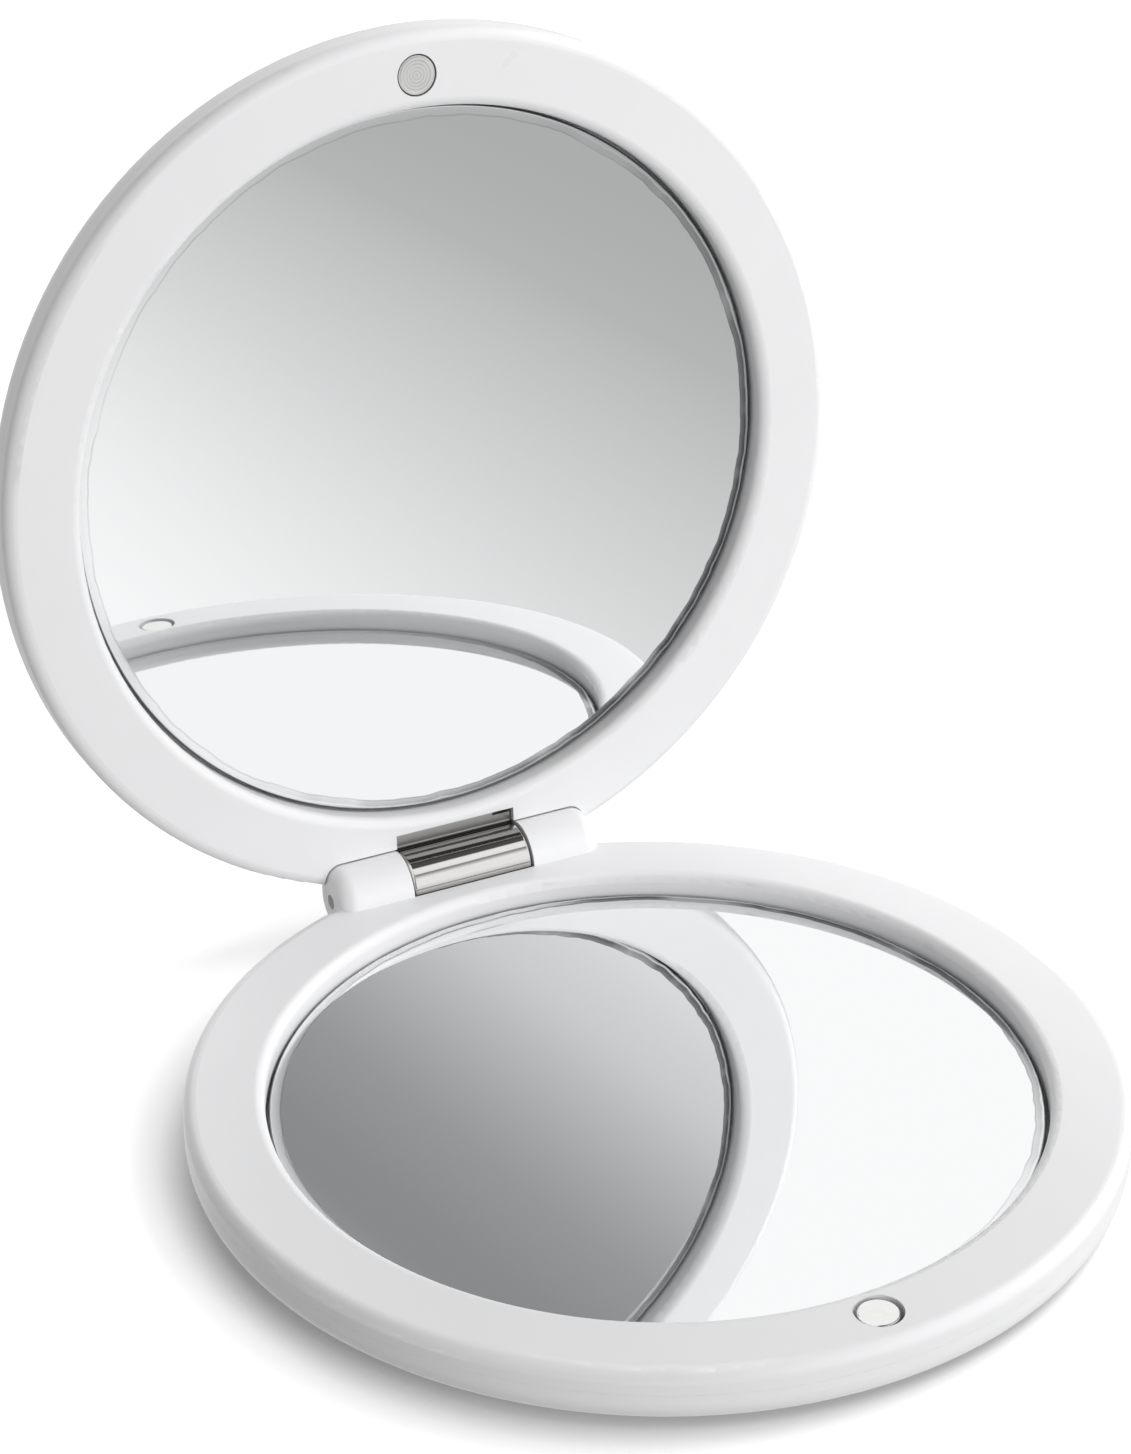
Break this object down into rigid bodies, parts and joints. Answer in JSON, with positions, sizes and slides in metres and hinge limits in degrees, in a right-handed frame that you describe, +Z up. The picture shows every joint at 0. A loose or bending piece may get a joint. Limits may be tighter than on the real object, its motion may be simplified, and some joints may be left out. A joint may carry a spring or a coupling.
{
  "type": "compact mirror",
  "caption": "Round folding pocket mirror: white moulded base and lid, each with a recessed round glass, joined by a metal-barrel hinge at the back and held shut by a magnet in the front rim.",
  "frame": {"origin": "centre of the base's flat underside, on the surface it rests on", "axes": "+Z up out of the base's mirror, +X along the hinge, +Y from the clasp towards the hinge"},
  "size_m": [0.07, 0.0788, 0.073],
  "materials": {
    "white_plastic": "glossy white moulded plastic",
    "mirror_glass": "silvered glass with a ground edge",
    "adhesive": "thin double-sided adhesive film",
    "nickel": "nickel plating",
    "turned_steel": "faced on a lathe, concentric marks",
    "chrome": "polished chrome plating",
    "pin_steel": "drawn steel"
  },
  "bodies": {
    "base": {"base_shell": "white_plastic", "base_frame": "white_plastic", "base_mirror": "mirror_glass", "base_mirror_pad": "adhesive", "base_magnet": "nickel", "hinge_pin": "pin_steel"},
    "lid": {"lid_shell": "white_plastic", "lid_frame": "white_plastic", "lid_mirror": "mirror_glass", "lid_mirror_pad": "adhesive", "lid_clasp_disc": "turned_steel", "hinge_leaf": "chrome"}
  },
  "joints": [
    {"name": "lid_hinge", "type": "hinge", "parent": "base", "child": "lid", "pos_m": [0, 0.034, 0.00425], "axis": [-1, 0, 0], "range_deg": [-94, 41]}
  ]
}
